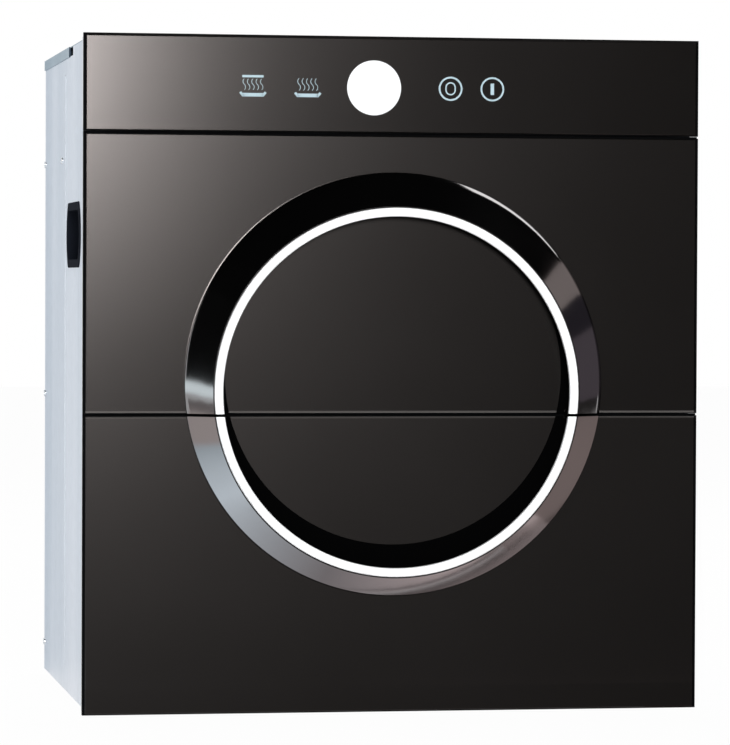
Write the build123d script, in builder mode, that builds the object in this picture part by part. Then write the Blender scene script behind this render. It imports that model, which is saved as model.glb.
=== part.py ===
from build123d import *
import math
import os

# Built-in dish dryer: a control strip over two drawers that share one split ring as their pull.
# X runs to the right, Y to the back and Z up, from the floor under the middle of the whole box.
# All lengths are in millimetres.

# Sheet, fits and cuts that every piece shares
SHEET = 1.0
FIT = 0.2
OVERRUN = 1.0

# Glass fronts with the frames and pans behind them
FRONT_WIDTH = 600.0
CONTROL_HEIGHT = 93.0
UPPER_FRONT_HEIGHT = 267.5
LOWER_FRONT_HEIGHT = 285.5
PANEL_GAP = 2.0
FRONT_LIFT = 2.0
GLASS_THICKNESS = 5.0
GLASS_BEVEL = 0.8
GLASS_SIDE_INSET = 2.2
GLASS_END_INSET = 0.8
LIP_SETBACK = 0.6
BACKING_THICKNESS = 3.0
STOP_CLEARANCE = 0.3
PAN_DEPTH = 14.0
PAN_INSET = 1.0
PAN_CORNER = 3.0
SEAL_THICKNESS = 2.7
SEAL_WIDTH = 8.0
SEAL_MARGIN = 2.0
SEAL_GAP = 0.3

# Ring pull: band, rim and bed, three circles with their own centres
RING_RISE = 316.0
RING_RADIUS = 203.5
RIM_DROP = 7.6
RIM_RADIUS = 177.0
RIM_INNER_RADIUS = 168.5
RIM_THICKNESS = 4.0
RIM_ROUND = 1.5
BED_RISE = 9.6
BED_RADIUS = 164.3
BED_THICKNESS = 1.5
HANDLE_PROUD = 24.0
BAND_EDGE = 5.0
BAND_WALL = 3.0
BAND_ROUND = 1.0
CREST_DROP = 1.5
CREST_WIDTH = 1.2
LEDGE_THICKNESS = 2.5
RIM_OVERHANG = 1.0
RING_END_INSET = 0.4
BOSS_RADIUS = 4.5
BOSS_HOLE_DEPTH = 8.0
GLASS_HOLE_RADIUS = 4.0
UPPER_BOSS_ANGLES = (35, 90, 145)
LOWER_BOSS_ANGLES = (215, 270, 325)

# Screws
SCREW_RADIUS = 1.75
SCREW_HEAD_RADIUS = 3.6
SCREW_HEAD_HEIGHT = 1.6
SCREW_HEAD_ROUND = 0.7
SCREW_SLOT_WIDTH = 0.9
SCREW_SLOT_DEPTH = 0.8
SCREW_CLEARANCE = 0.15
CASE_SCREW_LENGTH = 5.0
HANDLE_SCREW_REACH = 6.5

# Cabinet shell
BODY_INSET = 2.4
BODY_LIFT = 7.0
BODY_DROP = 5.0
SIDE_FLANGE = 12.0
CREASE_DEPTH = 206.0
CREASE_WIDTH = 7.0
CREASE_PROUD = 0.8
CREASE_MARGIN = 14.0
COVER_START = 161.0
COVER_FLANGE = 10.0
NOTCH_LENGTH = 30.0
NOTCH_HEIGHT = 8.5
REAR_RETURN = 14.0
REAR_RETURN_MARGIN = 20.0
REAR_SCREW_SETBACK = 7.0
REAR_SCREW_HEIGHTS = (36.0, 298.0, 538.0)
SIDE_SCREW_DEPTH = 239.0
SIDE_SCREW_HEIGHT = 537.0
BACK_SCREW_INSET = 60.0
FOOT_RADIUS = 16.0
FOOT_INSET_X = 48.0
FOOT_INSET_Y = 45.0
FOOT_ROUND = 1.5

# Side grips
GRIP_DEPTH_PLACE = 117.0
GRIP_HEIGHT_PLACE = 461.0
GRIP_LENGTH = 134.0
GRIP_HEIGHT = 64.0
GRIP_BULGE = 15.0
GRIP_CORNER = 9.0
GRIP_BORDER = 6.0
GRIP_WALL = 2.0
GRIP_POCKET = 20.0
GRIP_PROUD = 1.2
GRIP_ROUND = 0.6

# Front frame and drying chambers
FRAME_DEPTH = 12.0
FRONT_OVERLAP = 12.5
LOWER_OVERLAP = 18.0
SIDE_SPACE = 24.6
REAR_SPACE = 46.0
FIXING_SPACING = 280.0
FIXING_RADIUS = 2.5
FIXING_HEIGHT = 430.0
LOOM_HOLE_RADIUS = 14.0
VENT_RADIUS = 2.5
VENT_PITCH = 8.0
VENT_COLUMNS = 10
VENT_ROWS = 7

# Telescopic rails
SLIDE_THICKNESS = 12.7
SLIDE_HEIGHT = 36.0
SLIDE_SHEET = 1.2
SLIDE_CLEARANCE = 0.3
SLIDE_LENGTH = 330.0
SLIDE_SETBACK = 3.0
SLIDE_END_GAP = 12.0
SLIDE_LIP = 9.0
SLIDE_RISE = 31.0

# Drawer body
TRAY_LIFT = 3.0
TRAY_DEPTH = 14.0
TRAY_CLEARANCE = 1.0
TRAY_LIP = 12.0
TRAY_END_GAP = 3.0
SIDE_PLATE_HEIGHT = 60.0
SIDE_SHELF = 20.0
SIDE_TAB = 15.0
REAR_BAR_HEIGHT = 46.0
REAR_BAR_FOLD = 10.0
RACK_FRAME_RADIUS = 2.5
RACK_WIRE_RADIUS = 1.5
RACK_STAY_RADIUS = 2.0
RACK_WELD = 0.4
RACK_CORNER = 14.0
RACK_SIDE_GAP = 2.0
RACK_END_GAP = 8.0
RACK_PITCH = 26.0
RACK_STAY_PLACE = 126.0
HOOP_RADIUS = 1.75
HOOP_HEIGHT = 78.0
HOOP_WIDTH = 150.0
HOOP_BEND = 20.0
HOOP_PLACE = 115.0
HOOP_SKIP_COUNT = 2
CUP_RAIL_HEIGHT = 38.0
CUP_RAIL_BEND = 14.0
CUP_RAIL_PITCH = 84.0
CUP_RAIL_COUNT = 5
FOOT_GAP = 0.1

# Hot-air units
FAN_SIZE = 120.0
FAN_DEPTH = 26.0
FAN_BORE_RADIUS = 57.0
FAN_CORNER = 6.0
FAN_POST_RADIUS = 4.0
FAN_POST_PLACE = 52.5
MOTOR_RADIUS = 20.0
MOTOR_DEPTH = 6.0
STRUT_WIDTH = 6.0
STRUT_DEPTH = 3.0
SHAFT_RADIUS = 2.5
SHAFT_CLEARANCE = 0.05
SHAFT_LENGTH = 14.0
HUB_RADIUS = 21.0
HUB_DEPTH = 16.0
HUB_GAP = 1.0
HUB_ROUND = 2.0
BLADE_COUNT = 7
BLADE_TIP_RADIUS = 54.0
BLADE_ROOT = 3.0
BLADE_CHORD = 24.0
BLADE_THICKNESS = 1.6
BLADE_PITCH_DEGREES = 35
HEATER_WIDTH = 100.0
HEATER_HEIGHT = 70.0
HEATER_DEPTH = 16.0
HEATER_BORDER = 6.0
FIN_THICKNESS = 0.8
FIN_PITCH = 4.0
FIN_COUNT = 14
FIN_ROOT = 2.0
CUTOUT_RADIUS = 8.0
CUTOUT_HEIGHT = 7.0
CUTOUT_PLACE = 88.0
CUTOUT_BLADE = 5.0
CUTOUT_BLADE_THICKNESS = 0.8
CUTOUT_BLADE_SPREAD = 7.0
REAR_SLOT_LENGTH = 96.0
REAR_SLOT_WIDTH = 5.0
REAR_SLOT_PITCH = 11.0
REAR_SLOT_COUNT = 9

# Controls and wiring
DISPLAY_RADIUS = 26.2
DISPLAY_PLACE = -20.4
DISPLAY_DROP = 49.4
DISPLAY_BODY_RADIUS = 30.0
DISPLAY_BODY_DEPTH = 11.0
DISPLAY_SETBACK = 0.2
TOUCH_BOARD_WIDTH = 380.0
TOUCH_BOARD_HEIGHT = 74.0
BOARD_THICKNESS = 1.6
CHIP_WIDTH = 12.0
CHIP_THICKNESS = 2.2
CHIP_PLACES = (-138.0, -85.0, 54.0, 95.0)
POWER_BOARD_WIDTH = 180.0
POWER_BOARD_DEPTH = 120.0
POWER_BOARD_PLACE = 110.0
POWER_BOARD_START = 190.0
STANDOFF_RADIUS = 3.5
STANDOFF_HEIGHT = 8.0
STANDOFF_INSET = 8.0
TRANSFORMER_WIDTH = 50.0
TRANSFORMER_DEPTH = 42.0
TRANSFORMER_HEIGHT = 36.0
TRANSFORMER_PLACE = 50.0
RELAY_WIDTH = 13.0
RELAY_DEPTH = 29.0
RELAY_HEIGHT = 16.0
RELAY_PITCH = 20.0
RELAY_COUNT = 4
RELAY_PLACE = -35.0
CAPACITOR_RADIUS = 9.0
CAPACITOR_HEIGHT = 25.0
CAPACITOR_SPREAD = 32.0
GLAND_INSET = 77.6
GLAND_HEIGHT = 60.0
GLAND_PROUD = 12.0
GLAND_RADIUS = 10.0
GLAND_BORE_RADIUS = 4.5
GLAND_NUT_RADIUS = 14.0
GLAND_NUT_DEPTH = 5.0
GLAND_INNER = 8.0
GLAND_DOME = 2.5
TERMINAL_WIDTH = 60.0
TERMINAL_DEPTH = 22.0
TERMINAL_HEIGHT = 24.0
TERMINAL_RISE = 60.0
TERMINAL_WAYS = 4
TERMINAL_SCREW_RADIUS = 3.0
TERMINAL_SCREW_DEPTH = 6.0

# Heights of the fronts and the body
FRONT_BOTTOM = FRONT_LIFT
LOWER_TOP = FRONT_BOTTOM + LOWER_FRONT_HEIGHT
UPPER_BOTTOM = LOWER_TOP + PANEL_GAP
UPPER_TOP = UPPER_BOTTOM + UPPER_FRONT_HEIGHT
CONTROL_BOTTOM = UPPER_TOP + PANEL_GAP
FRONT_TOP = CONTROL_BOTTOM + CONTROL_HEIGHT
BODY_TOP = FRONT_TOP - BODY_DROP
SHELL_TOP = BODY_TOP - SHEET
RING_Z = FRONT_BOTTOM + RING_RISE
RIM_Z = RING_Z - RIM_DROP
BED_Z = RING_Z + BED_RISE
LOWER_FLOOR = FRONT_BOTTOM + LOWER_OVERLAP
LOWER_ROOF = LOWER_TOP - FRONT_OVERLAP
UPPER_FLOOR = UPPER_BOTTOM + FRONT_OVERLAP
UPPER_ROOF = UPPER_TOP - FRONT_OVERLAP

# Depths, from the front of the glass to the rear panel
CHAMBER_DEPTH = SLIDE_SETBACK + SLIDE_LENGTH + SLIDE_END_GAP
BODY_DEPTH = FRAME_DEPTH + CHAMBER_DEPTH + SHEET + REAR_SPACE + SHEET
FRONT_DEPTH = GLASS_THICKNESS + BACKING_THICKNESS + PAN_DEPTH + SEAL_THICKNESS + SEAL_GAP
GLASS_Y = (HANDLE_PROUD - FRONT_DEPTH - BODY_DEPTH - GLAND_PROUD) / 2
GLASS_BACK = GLASS_Y + GLASS_THICKNESS
BACKING_BACK = GLASS_BACK + BACKING_THICKNESS
PAN_BACK = BACKING_BACK + PAN_DEPTH
BODY_Y = GLASS_Y + FRONT_DEPTH
FRAME_BACK = BODY_Y + FRAME_DEPTH
REAR_Y = BODY_Y + BODY_DEPTH
REAR_INSIDE = REAR_Y - SHEET
LINER_BACK = REAR_INSIDE - REAR_SPACE
HEATER_BACK = LINER_BACK + HEATER_DEPTH
FAN_BACK = HEATER_BACK + FAN_DEPTH
SLIDE_FRONT = FRAME_BACK + SLIDE_SETBACK
SLIDE_BACK = SLIDE_FRONT + SLIDE_LENGTH

# Widths, from the middle to the right
BODY_HALF = FRONT_WIDTH / 2 - BODY_INSET
INSIDE_HALF = BODY_HALF - SHEET - FIT
CHAMBER_HALF = BODY_HALF - SIDE_SPACE
SIDE_OUTER = CHAMBER_HALF - SLIDE_THICKNESS
SIDE_INNER = SIDE_OUTER - SHEET
GLAND_PLACE = GLAND_INSET - BODY_HALF

# Heights of the ring's steps above the glass
SEAT_RISE = HANDLE_PROUD - RIM_THICKNESS
LEDGE_RISE = SEAT_RISE - LEDGE_THICKNESS
CREST_RISE = HANDLE_PROUD - CREST_DROP
CREST_RADIUS = RIM_RADIUS + CREST_WIDTH
LEDGE_RADIUS = RIM_INNER_RADIUS + RIM_OVERHANG
HOLLOW_RADIUS = RING_RADIUS - BAND_WALL
HOLLOW_KNEE = BAND_EDGE - BAND_WALL / 2
CONE_RUN = RING_RADIUS - CREST_RADIUS
CONE_RISE = CREST_RISE - BAND_EDGE
LEDGE_SHARE = (LEDGE_RISE - BAND_EDGE) / CONE_RISE
HOLLOW_TOP_RADIUS = RING_RADIUS - CONE_RUN * LEDGE_SHARE - BAND_WALL * math.hypot(CONE_RUN, CONE_RISE) / CONE_RISE
HOLLOW_TOP_Z = RING_Z - RIM_DROP * LEDGE_SHARE
BOSS_CIRCLE = (HOLLOW_RADIUS + HOLLOW_TOP_RADIUS) / 2
BOSS_Z = (RING_Z + HOLLOW_TOP_Z) / 2

os.makedirs("parts", exist_ok=True)


def save(piece, name):
    """Label a finished piece and write it to a file of its own."""
    piece.part.label = name
    export_step(piece.part, f"parts/{name}.step")


def front_plane(y):
    """A plane across the object at depth y that looks to the front, with X across and Z up."""
    return Plane.XZ.offset(-y)


def block(x, y, z, mode=Mode.ADD):
    """A box between the low and high ends given for each axis."""
    with Locations(((x[0] + x[1]) / 2, (y[0] + y[1]) / 2, (z[0] + z[1]) / 2)):
        Box(x[1] - x[0], y[1] - y[0], z[1] - z[0], mode=mode)


def both(half):
    """The low and high ends of a span centred on the middle."""
    return (-half, half)


def outward(x, y, z, direction):
    """The place of a screw whose head faces the given direction."""
    return Plane(origin=(x, y, z), z_dir=direction).location


def make_screw(length):
    """A cross-slot pan head over a plain shank, with the head's underside at the origin."""
    with BuildPart() as screw:
        with Locations((0, 0, SCREW_HEAD_HEIGHT / 2)):
            Cylinder(SCREW_HEAD_RADIUS, SCREW_HEAD_HEIGHT)
        fillet(screw.edges().group_by(Axis.Z)[-1], SCREW_HEAD_ROUND)
        with Locations((0, 0, SCREW_HEAD_HEIGHT)):
            Box(SCREW_HEAD_RADIUS, SCREW_SLOT_WIDTH, 2 * SCREW_SLOT_DEPTH, mode=Mode.SUBTRACT)
            Box(SCREW_SLOT_WIDTH, SCREW_HEAD_RADIUS, 2 * SCREW_SLOT_DEPTH, mode=Mode.SUBTRACT)
        with Locations((0, 0, -length / 2)):
            Cylinder(SCREW_RADIUS, length)
    return screw.part


def make_grip_face():
    """The grip's outline: straight top and bottom edges between bulging ends."""
    half_edge = GRIP_LENGTH / 2 - GRIP_BULGE
    half_height = GRIP_HEIGHT / 2
    with BuildSketch() as grip_face:
        with BuildLine():
            Line((-half_edge, half_height), (half_edge, half_height))
            ThreePointArc((half_edge, half_height), (GRIP_LENGTH / 2, 0), (half_edge, -half_height))
            Line((half_edge, -half_height), (-half_edge, -half_height))
            ThreePointArc((-half_edge, -half_height), (-GRIP_LENGTH / 2, 0), (-half_edge, half_height))
        make_face()
        fillet(grip_face.vertices(), GRIP_CORNER)
    return grip_face.sketch


# Cabinet screws: three along each side's rear edge, one further forward, two pairs in the rear panel
side_screw_spots = [(REAR_Y - REAR_SCREW_SETBACK, height) for height in REAR_SCREW_HEIGHTS]
side_screw_spots.append((GLASS_Y + SIDE_SCREW_DEPTH, SIDE_SCREW_HEIGHT))
rear_screw_spots = [
    (x, z)
    for x in both(INSIDE_HALF - BACK_SCREW_INSET)
    for z in (SHELL_TOP - COVER_FLANGE, BODY_LIFT + BACK_SCREW_INSET)
]
case_screw = make_screw(CASE_SCREW_LENGTH)
with BuildPart() as cabinet_screws:
    for spot_y, spot_z in side_screw_spots:
        with Locations(outward(BODY_HALF, spot_y, spot_z, (1, 0, 0))):
            add(case_screw)
        with Locations(outward(-BODY_HALF, spot_y, spot_z, (-1, 0, 0))):
            add(case_screw)
    for spot_x, spot_z in rear_screw_spots:
        with Locations(outward(spot_x, REAR_Y, spot_z, (0, 1, 0))):
            add(case_screw)
save(cabinet_screws, "cabinet_screws")

# Side panels: one folded sheet each, with a pressed crease, a grip hole, a cover notch and fixing holes
fixing_y = BODY_Y + FRAME_DEPTH / 2
fixing_spots = [(fixing_y, FIXING_HEIGHT), (fixing_y, FIXING_HEIGHT - FIXING_SPACING)]
grip_spot = (GLASS_Y + GRIP_DEPTH_PLACE, GRIP_HEIGHT_PLACE)
grip_face = make_grip_face()
notch_back = GLASS_Y + COVER_START
fold_y = (FRAME_BACK + FIT, REAR_INSIDE - FIT)
with BuildPart() as right_side_panel:
    block((BODY_HALF - SHEET, BODY_HALF), (BODY_Y, REAR_Y), (BODY_LIFT, SHELL_TOP))
    block((BODY_HALF - SIDE_FLANGE, BODY_HALF), fold_y, (BODY_LIFT, BODY_LIFT + SHEET))
    block((BODY_HALF - SIDE_FLANGE, BODY_HALF), fold_y, (SHELL_TOP - SHEET, SHELL_TOP))
    with BuildSketch(Plane.YZ.offset(BODY_HALF)):
        with Locations((GLASS_Y + CREASE_DEPTH, (BODY_LIFT + SHELL_TOP) / 2)):
            crease_length = SHELL_TOP - BODY_LIFT - 2 * (COVER_FLANGE + CREASE_MARGIN)
            SlotOverall(crease_length, CREASE_WIDTH, rotation=90)
    extrude(amount=CREASE_PROUD, taper=45)
    block(
        (BODY_HALF - SIDE_FLANGE - OVERRUN, BODY_HALF + OVERRUN),
        (notch_back - NOTCH_LENGTH, notch_back),
        (SHELL_TOP - NOTCH_HEIGHT, SHELL_TOP + OVERRUN),
        Mode.SUBTRACT,
    )
    with BuildSketch(Plane.YZ.offset(BODY_HALF)):
        with Locations(grip_spot):
            add(offset(grip_face, FIT - GRIP_BORDER, mode=Mode.PRIVATE))
        with Locations(*side_screw_spots):
            Circle(SCREW_RADIUS + SCREW_CLEARANCE)
        with Locations(*fixing_spots):
            Circle(FIXING_RADIUS)
    extrude(amount=-SHEET, mode=Mode.SUBTRACT)
save(right_side_panel, "right_side_panel")
with BuildPart() as left_side_panel:
    mirror(right_side_panel.part, about=Plane.YZ)
save(left_side_panel, "left_side_panel")

# Side grips: moulded cups with a rounded border on the panel's outer face
with BuildPart() as right_grip:
    with BuildSketch(Plane.YZ.offset(BODY_HALF)):
        with Locations(grip_spot):
            add(grip_face)
    extrude(amount=GRIP_PROUD)
    fillet(right_grip.faces().sort_by(Axis.X)[-1].edges(), GRIP_ROUND)
    with BuildSketch(Plane.YZ.offset(BODY_HALF)):
        with Locations(grip_spot):
            add(offset(grip_face, -GRIP_BORDER, mode=Mode.PRIVATE))
    extrude(amount=-GRIP_POCKET)
    with BuildSketch(Plane.YZ.offset(BODY_HALF + GRIP_PROUD)):
        with Locations(grip_spot):
            add(offset(grip_face, -GRIP_BORDER - GRIP_WALL, mode=Mode.PRIVATE))
    extrude(amount=-(GRIP_PROUD + GRIP_POCKET - GRIP_WALL), mode=Mode.SUBTRACT)
save(right_grip, "right_grip")
with BuildPart() as left_grip:
    mirror(right_grip.part, about=Plane.YZ)
save(left_grip, "left_grip")

# Top cover: a flat sheet whose rear part is folded down over the sides
with BuildPart() as top_cover:
    block(both(BODY_HALF), (BODY_Y, REAR_Y), (SHELL_TOP, BODY_TOP))
    cover_half = BODY_HALF + FIT + SHEET
    block(both(cover_half), (notch_back, REAR_Y), (SHELL_TOP, BODY_TOP))
    for side in (-1, 1):
        flange_x = sorted((side * (cover_half - SHEET), side * cover_half))
        block(flange_x, (notch_back, REAR_Y), (BODY_TOP - COVER_FLANGE, BODY_TOP))
save(top_cover, "top_cover")

# Base panel on the folded edges of the sides
with BuildPart() as base_panel:
    block(both(INSIDE_HALF), fold_y, (BODY_LIFT + SHEET, BODY_LIFT + 2 * SHEET))
save(base_panel, "base_panel")

# Feet: four rubber pads under the base
with BuildPart() as feet:
    foot_x = BODY_HALF - FOOT_INSET_X
    for foot_y in (BODY_Y + FOOT_INSET_Y, REAR_Y - FOOT_INSET_Y):
        with Locations((-foot_x, foot_y, 0), (foot_x, foot_y, 0)):
            Cylinder(
                FOOT_RADIUS,
                BODY_LIFT + SHEET,
                align=(Align.CENTER, Align.CENTER, Align.MIN),
            )
    fillet(feet.edges().group_by(Axis.Z)[0], FOOT_ROUND)
save(feet, "feet")

# Rear panel: returns along its sides, air slots behind each fan, a hole for the cable gland
fan_heights = {
    "upper": (UPPER_FLOOR + UPPER_ROOF) / 2,
    "lower": (LOWER_FLOOR + LOWER_ROOF) / 2,
}
rear_z = (BODY_LIFT + 2 * SHEET + FIT, SHELL_TOP - FIT)
with BuildPart() as rear_panel:
    block(both(INSIDE_HALF), (REAR_INSIDE, REAR_Y), rear_z)
    return_z = (BODY_LIFT + REAR_RETURN_MARGIN, SHELL_TOP - REAR_RETURN_MARGIN)
    block((INSIDE_HALF - SHEET, INSIDE_HALF), (REAR_Y - REAR_RETURN, REAR_Y), return_z)
    block((-INSIDE_HALF, SHEET - INSIDE_HALF), (REAR_Y - REAR_RETURN, REAR_Y), return_z)
    with BuildSketch(front_plane(REAR_Y)):
        for height in fan_heights.values():
            with Locations((0, height)):
                with GridLocations(0, REAR_SLOT_PITCH, 1, REAR_SLOT_COUNT):
                    SlotOverall(REAR_SLOT_LENGTH, REAR_SLOT_WIDTH)
        with Locations((GLAND_PLACE, GLAND_HEIGHT)):
            Circle(GLAND_RADIUS + FIT)
        with Locations(*rear_screw_spots):
            Circle(SCREW_RADIUS + SCREW_CLEARANCE)
    extrude(amount=SHEET, mode=Mode.SUBTRACT)
    for spot_y, spot_z in side_screw_spots[: len(REAR_SCREW_HEIGHTS)]:
        with Locations((0, spot_y, spot_z)):
            Cylinder(
                SCREW_RADIUS + SCREW_CLEARANCE,
                2 * BODY_HALF,
                rotation=(0, 90, 0),
                mode=Mode.SUBTRACT,
            )
save(rear_panel, "rear_panel")

# Front frame: a moulded frame around both chambers, closed behind the controls but for the loom hole
loom_z = (CONTROL_BOTTOM + SHELL_TOP) / 2
chambers = {
    "upper": (UPPER_FLOOR, UPPER_ROOF),
    "lower": (LOWER_FLOOR, LOWER_ROOF),
}
with BuildPart() as front_frame:
    block(both(INSIDE_HALF), (BODY_Y, FRAME_BACK), (BODY_LIFT, SHELL_TOP - FIT))
    for chamber in chambers.values():
        block(both(CHAMBER_HALF), (BODY_Y - OVERRUN, FRAME_BACK + OVERRUN), chamber, Mode.SUBTRACT)
    with BuildSketch(front_plane(FRAME_BACK)):
        with Locations((DISPLAY_PLACE, loom_z)):
            Circle(LOOM_HOLE_RADIUS)
    extrude(amount=FRAME_DEPTH, mode=Mode.SUBTRACT)
    for spot_y, spot_z in fixing_spots:
        with Locations((0, spot_y, spot_z)):
            Cylinder(FIXING_RADIUS, 2 * BODY_HALF, rotation=(0, 90, 0), mode=Mode.SUBTRACT)
save(front_frame, "front_frame")


def make_hot_air_unit(name, chamber, height):
    """The liner of one chamber with the heater, fan and thermal cut-out on its back."""
    with BuildPart() as liner:
        block(both(CHAMBER_HALF + SHEET), (FRAME_BACK, LINER_BACK), (chamber[0] - SHEET, chamber[1] + SHEET))
        block(both(CHAMBER_HALF), (FRAME_BACK - OVERRUN, LINER_BACK - SHEET), chamber, Mode.SUBTRACT)
        with BuildSketch(front_plane(LINER_BACK)):
            with Locations((0, height)):
                with GridLocations(VENT_PITCH, VENT_PITCH, VENT_COLUMNS, VENT_ROWS):
                    Circle(VENT_RADIUS)
        extrude(amount=SHEET, mode=Mode.SUBTRACT)
    save(liner, f"{name}_liner")

    with BuildPart() as heater:
        with BuildSketch(front_plane(HEATER_BACK)):
            with Locations((0, height)):
                Rectangle(HEATER_WIDTH, HEATER_HEIGHT)
                Rectangle(
                    HEATER_WIDTH - 2 * HEATER_BORDER,
                    HEATER_HEIGHT - 2 * HEATER_BORDER,
                    mode=Mode.SUBTRACT,
                )
        extrude(amount=HEATER_DEPTH)
        with BuildSketch(front_plane(HEATER_BACK - FIN_ROOT)):
            with Locations((0, height)):
                with GridLocations(0, FIN_PITCH, 1, FIN_COUNT):
                    Rectangle(HEATER_WIDTH - 2 * (HEATER_BORDER - FIN_ROOT), FIN_THICKNESS)
        extrude(amount=HEATER_DEPTH - 2 * FIN_ROOT)
    save(heater, f"{name}_heater")

    with BuildPart() as fan_frame:
        with BuildSketch(front_plane(FAN_BACK)):
            with Locations((0, height)):
                RectangleRounded(FAN_SIZE, FAN_SIZE, FAN_CORNER)
                Circle(FAN_BORE_RADIUS, mode=Mode.SUBTRACT)
        extrude(amount=FAN_DEPTH)
        with BuildSketch(front_plane(FAN_BACK)):
            with Locations((0, height)):
                Rectangle(2 * FAN_BORE_RADIUS + FAN_POST_RADIUS, STRUT_WIDTH)
                Rectangle(STRUT_WIDTH, 2 * FAN_BORE_RADIUS + FAN_POST_RADIUS)
        extrude(amount=STRUT_DEPTH)
        with BuildSketch(front_plane(FAN_BACK)):
            with Locations((0, height)):
                Circle(MOTOR_RADIUS)
        extrude(amount=MOTOR_DEPTH)
        with BuildSketch(front_plane(FAN_BACK - MOTOR_DEPTH)):
            with Locations((0, height)):
                Circle(SHAFT_RADIUS)
        extrude(amount=SHAFT_LENGTH)
        with BuildSketch(front_plane(HEATER_BACK)):
            with Locations((0, height)):
                with GridLocations(2 * FAN_POST_PLACE, 2 * FAN_POST_PLACE, 2, 2):
                    Circle(FAN_POST_RADIUS)
        extrude(amount=HEATER_DEPTH)
    save(fan_frame, f"{name}_fan_frame")

    hub_back = FAN_BACK - MOTOR_DEPTH - HUB_GAP
    with BuildPart(Plane(origin=(0, hub_back, height), x_dir=(1, 0, 0), z_dir=(0, -1, 0))) as fan_rotor:
        Cylinder(HUB_RADIUS, HUB_DEPTH, align=(Align.CENTER, Align.CENTER, Align.MIN))
        fillet(fan_rotor.edges().group_by(Axis.Y)[0], HUB_ROUND)
        blade_length = BLADE_TIP_RADIUS - HUB_RADIUS + BLADE_ROOT
        with Locations((0, 0, HUB_DEPTH / 2)):
            with PolarLocations(BLADE_TIP_RADIUS - blade_length / 2, BLADE_COUNT):
                Box(blade_length, BLADE_CHORD, BLADE_THICKNESS, rotation=(BLADE_PITCH_DEGREES, 0, 0))
        Cylinder(
            SHAFT_RADIUS + SHAFT_CLEARANCE,
            SHAFT_LENGTH,
            align=(Align.CENTER, Align.CENTER, Align.MIN),
            mode=Mode.SUBTRACT,
        )
    save(fan_rotor, f"{name}_fan_rotor")


for chamber_name, chamber_span in chambers.items():
    make_hot_air_unit(chamber_name, chamber_span, fan_heights[chamber_name])

# Thermal cut-outs: a disc with two blades on the back of each liner
with BuildPart() as thermal_cutouts:
    for height in fan_heights.values():
        with BuildSketch(front_plane(LINER_BACK + CUTOUT_HEIGHT)):
            with Locations((CUTOUT_PLACE, height)):
                Circle(CUTOUT_RADIUS)
        extrude(amount=CUTOUT_HEIGHT)
        with BuildSketch(front_plane(LINER_BACK + CUTOUT_HEIGHT)):
            with Locations((CUTOUT_PLACE, height)):
                with GridLocations(CUTOUT_BLADE_SPREAD, 0, 2, 1):
                    Rectangle(CUTOUT_BLADE_THICKNESS, CUTOUT_BLADE)
        extrude(amount=-CUTOUT_BLADE)
save(thermal_cutouts, "thermal_cutouts")

# Cable gland: a threaded body through the rear panel with a nut on each side, and its bore
with BuildPart() as cable_gland:
    with BuildSketch(front_plane(REAR_Y + GLAND_PROUD)):
        with Locations((GLAND_PLACE, GLAND_HEIGHT)):
            Circle(GLAND_RADIUS)
    extrude(amount=GLAND_PROUD + SHEET + GLAND_INNER)
    chamfer(cable_gland.faces().sort_by(Axis.Y)[-1].edges(), GLAND_DOME)
    with BuildSketch(front_plane(REAR_Y + GLAND_NUT_DEPTH)):
        with Locations((GLAND_PLACE, GLAND_HEIGHT)):
            RegularPolygon(GLAND_NUT_RADIUS, 6)
    extrude(amount=GLAND_NUT_DEPTH)
    with BuildSketch(front_plane(REAR_INSIDE)):
        with Locations((GLAND_PLACE, GLAND_HEIGHT)):
            RegularPolygon(GLAND_NUT_RADIUS, 6)
    extrude(amount=GLAND_NUT_DEPTH)
    with BuildSketch(front_plane(REAR_Y + GLAND_PROUD)):
        with Locations((GLAND_PLACE, GLAND_HEIGHT)):
            Circle(GLAND_BORE_RADIUS)
    extrude(amount=GLAND_PROUD + SHEET + GLAND_INNER, mode=Mode.SUBTRACT)
save(cable_gland, "cable_gland")

# Terminal block on the inside of the rear panel, above the gland
terminal_z = GLAND_HEIGHT + TERMINAL_RISE
with BuildPart() as terminal_block:
    block(
        (GLAND_PLACE - TERMINAL_WIDTH / 2, GLAND_PLACE + TERMINAL_WIDTH / 2),
        (REAR_INSIDE - TERMINAL_DEPTH, REAR_INSIDE),
        (terminal_z - TERMINAL_HEIGHT / 2, terminal_z + TERMINAL_HEIGHT / 2),
    )
    with BuildSketch(front_plane(REAR_INSIDE - TERMINAL_DEPTH)):
        with Locations((GLAND_PLACE, terminal_z)):
            with GridLocations(TERMINAL_WIDTH / TERMINAL_WAYS, 0, TERMINAL_WAYS, 1):
                Circle(TERMINAL_SCREW_RADIUS)
    extrude(amount=-TERMINAL_SCREW_DEPTH, mode=Mode.SUBTRACT)
save(terminal_block, "terminal_block")

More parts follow.
